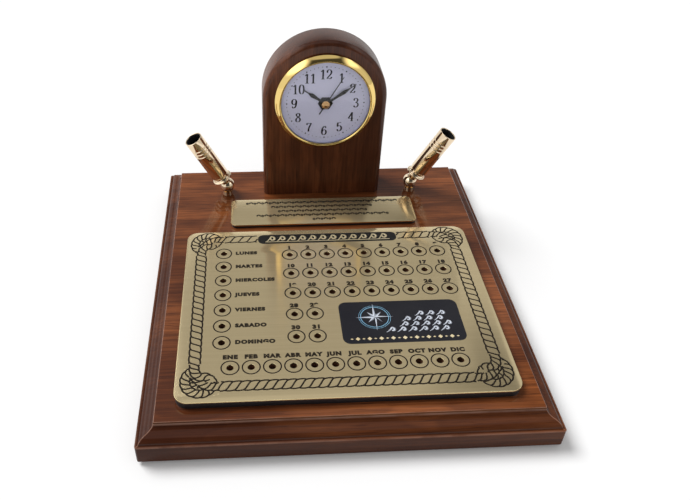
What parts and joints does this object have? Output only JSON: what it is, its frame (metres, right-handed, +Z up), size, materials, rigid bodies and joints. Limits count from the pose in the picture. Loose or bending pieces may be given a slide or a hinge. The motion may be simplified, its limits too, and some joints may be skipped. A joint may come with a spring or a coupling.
{
  "type": "desk clock with calendar",
  "caption": "Wooden desk set with a push-in quartz clock in an arched block, a brass perpetual-calendar plate with peg holes and pen holders on ball swivels.",
  "frame": {"origin": "on the desk, under the middle of the base board", "axes": "+Z up, front of the clock towards -Y, +X to the viewer's right"},
  "size_m": [0.246, 0.276, 0.151],
  "materials": {
    "board_wood": "clear lacquer, gloss",
    "block_wood": "clear lacquer, gloss",
    "felt": "felt",
    "black_board": "matt",
    "etched_brass": "satin, printed",
    "polished_brass": "polished",
    "gold_bezel": "polished",
    "black_plastic": "satin",
    "steel": "zinc plated",
    "rubber_band": "matt",
    "lens_clear": "polished",
    "dial_white": "satin print",
    "ring_white": "satin",
    "frame_plastic": "moulded",
    "bush_brass": "turned",
    "iron": "stamped",
    "copper_wire": "enamelled winding",
    "circuit": "solder mask",
    "chip_black": "moulded",
    "can_metal": "bright",
    "gear_plastic": "moulded acetal",
    "hand_black": "black lacquer",
    "cap_brass": "polished"
  },
  "bodies": {
    "stand": {"base_board": "board_wood", "felt_feet": "felt", "calendar_backing": "black_board", "calendar_plate": "etched_brass", "dedication_backing": "black_board", "dedication_plate": "etched_brass", "clock_arch": "block_wood", "arch_screws": "steel", "stud_washers": "steel"},
    "clock_insert": {"insert_case": "black_plastic", "fit_ring": "rubber_band", "bezel": "gold_bezel", "lens": "lens_clear", "dial": "dial_white", "chapter_ring": "ring_white", "case_back": "black_plastic", "case_screws": "steel", "movement_front_plate": "frame_plastic", "movement_rear_plate": "frame_plastic", "centre_bush": "bush_brass", "bush_nut": "bush_brass", "plate_pillars": "frame_plastic", "movement_screws": "steel", "stator": "iron", "coil_core": "iron", "coil": "copper_wire", "stator_screws": "steel", "circuit_board": "circuit", "control_chip": "chip_black", "quartz_crystal": "can_metal", "button_cell": "can_metal", "battery_contacts": "bush_brass"},
    "cell_cover": {"battery_cover": "black_plastic"},
    "seconds": {"second_wheel": "gear_plastic", "second_hand": "hand_black", "hand_cap": "cap_brass"},
    "intermediate": {"intermediate_wheel": "gear_plastic"},
    "motor_rotor": {"rotor": "gear_plastic"},
    "third": {"third_wheel": "gear_plastic"},
    "centre": {"centre_wheel": "gear_plastic"},
    "minutes": {"cannon_pinion": "gear_plastic", "minute_hand": "hand_black"},
    "setting": {"minute_wheel": "gear_plastic", "setting_knob": "black_plastic"},
    "hours": {"hour_wheel": "gear_plastic", "hour_hand": "hand_black"},
    "left_swivel": {"left_swivel_stud": "polished_brass", "left_stud_nut": "steel"},
    "left_pen_holder": {"left_pen_ball": "polished_brass", "left_pen_collar": "polished_brass", "left_pen_tube": "polished_brass", "left_pen_liner": "black_plastic"},
    "right_swivel": {"right_swivel_stud": "polished_brass", "right_stud_nut": "steel"},
    "right_pen_holder": {"right_pen_ball": "polished_brass", "right_pen_collar": "polished_brass", "right_pen_tube": "polished_brass", "right_pen_liner": "black_plastic"}
  },
  "joints": [
    {"name": "insert_slide", "type": "slide", "parent": "stand", "child": "clock_insert", "axis": [0, -1, 0], "range_m": [0, 0.025]},
    {"name": "cover_turn", "type": "hinge", "parent": "clock_insert", "child": "cell_cover", "pos_m": [0.0015, 0.1096, 0.1206], "axis": [0, 1, 0], "range_deg": [0, 60]},
    {"name": "seconds_spin", "type": "hinge", "parent": "clock_insert", "child": "seconds", "pos_m": [0.0015, 0.0873, 0.105], "axis": [0, 1, 0], "continuous": true},
    {"name": "intermediate_spin", "type": "hinge", "parent": "clock_insert", "child": "intermediate", "pos_m": [-0.0081, 0.0873, 0.105], "axis": [0, 1, 0], "continuous": true},
    {"name": "rotor_spin", "type": "hinge", "parent": "clock_insert", "child": "motor_rotor", "pos_m": [-0.01336, 0.0873, 0.10762], "axis": [0, 1, 0], "continuous": true},
    {"name": "third_spin", "type": "hinge", "parent": "clock_insert", "child": "third", "pos_m": [0.01068, 0.0873, 0.105], "axis": [0, 1, 0], "continuous": true},
    {"name": "centre_spin", "type": "hinge", "parent": "clock_insert", "child": "centre", "pos_m": [0.0015, 0.0873, 0.105], "axis": [0, 1, 0], "continuous": true},
    {"name": "minutes_spin", "type": "hinge", "parent": "clock_insert", "child": "minutes", "pos_m": [0.0015, 0.0873, 0.105], "axis": [0, 1, 0], "continuous": true},
    {"name": "setting_spin", "type": "hinge", "parent": "clock_insert", "child": "setting", "pos_m": [0.0015, 0.0873, 0.0954], "axis": [0, 1, 0], "continuous": true},
    {"name": "hours_spin", "type": "hinge", "parent": "clock_insert", "child": "hours", "pos_m": [0.0015, 0.0873, 0.105], "axis": [0, 1, 0], "continuous": true},
    {"name": "left_swivel_turn", "type": "hinge", "parent": "stand", "child": "left_swivel", "pos_m": [-0.0736, 0.0986, 0.0307], "axis": [0, 0, 1], "range_deg": [-100, 100]},
    {"name": "left_tilt", "type": "hinge", "parent": "left_swivel", "child": "left_pen_holder", "pos_m": [-0.0736, 0.0986, 0.0307], "axis": [0.2164, -0.9763, 0], "range_deg": [-33, 30]},
    {"name": "right_swivel_turn", "type": "hinge", "parent": "stand", "child": "right_swivel", "pos_m": [0.0736, 0.0986, 0.0307], "axis": [0, 0, 1], "range_deg": [-100, 100]},
    {"name": "right_tilt", "type": "hinge", "parent": "right_swivel", "child": "right_pen_holder", "pos_m": [0.0736, 0.0986, 0.0307], "axis": [0.2164, 0.9763, 0], "range_deg": [-33, 30]}
  ],
  "couplings": [
    {"joint": "intermediate_spin", "follows": "seconds_spin", "ratio": -5},
    {"joint": "rotor_spin", "follows": "seconds_spin", "ratio": 30},
    {"joint": "third_spin", "follows": "seconds_spin", "ratio": -0.125},
    {"joint": "centre_spin", "follows": "seconds_spin", "ratio": 0.016667},
    {"joint": "setting_spin", "follows": "minutes_spin", "ratio": -0.33333},
    {"joint": "hours_spin", "follows": "minutes_spin", "ratio": 0.083333}
  ]
}
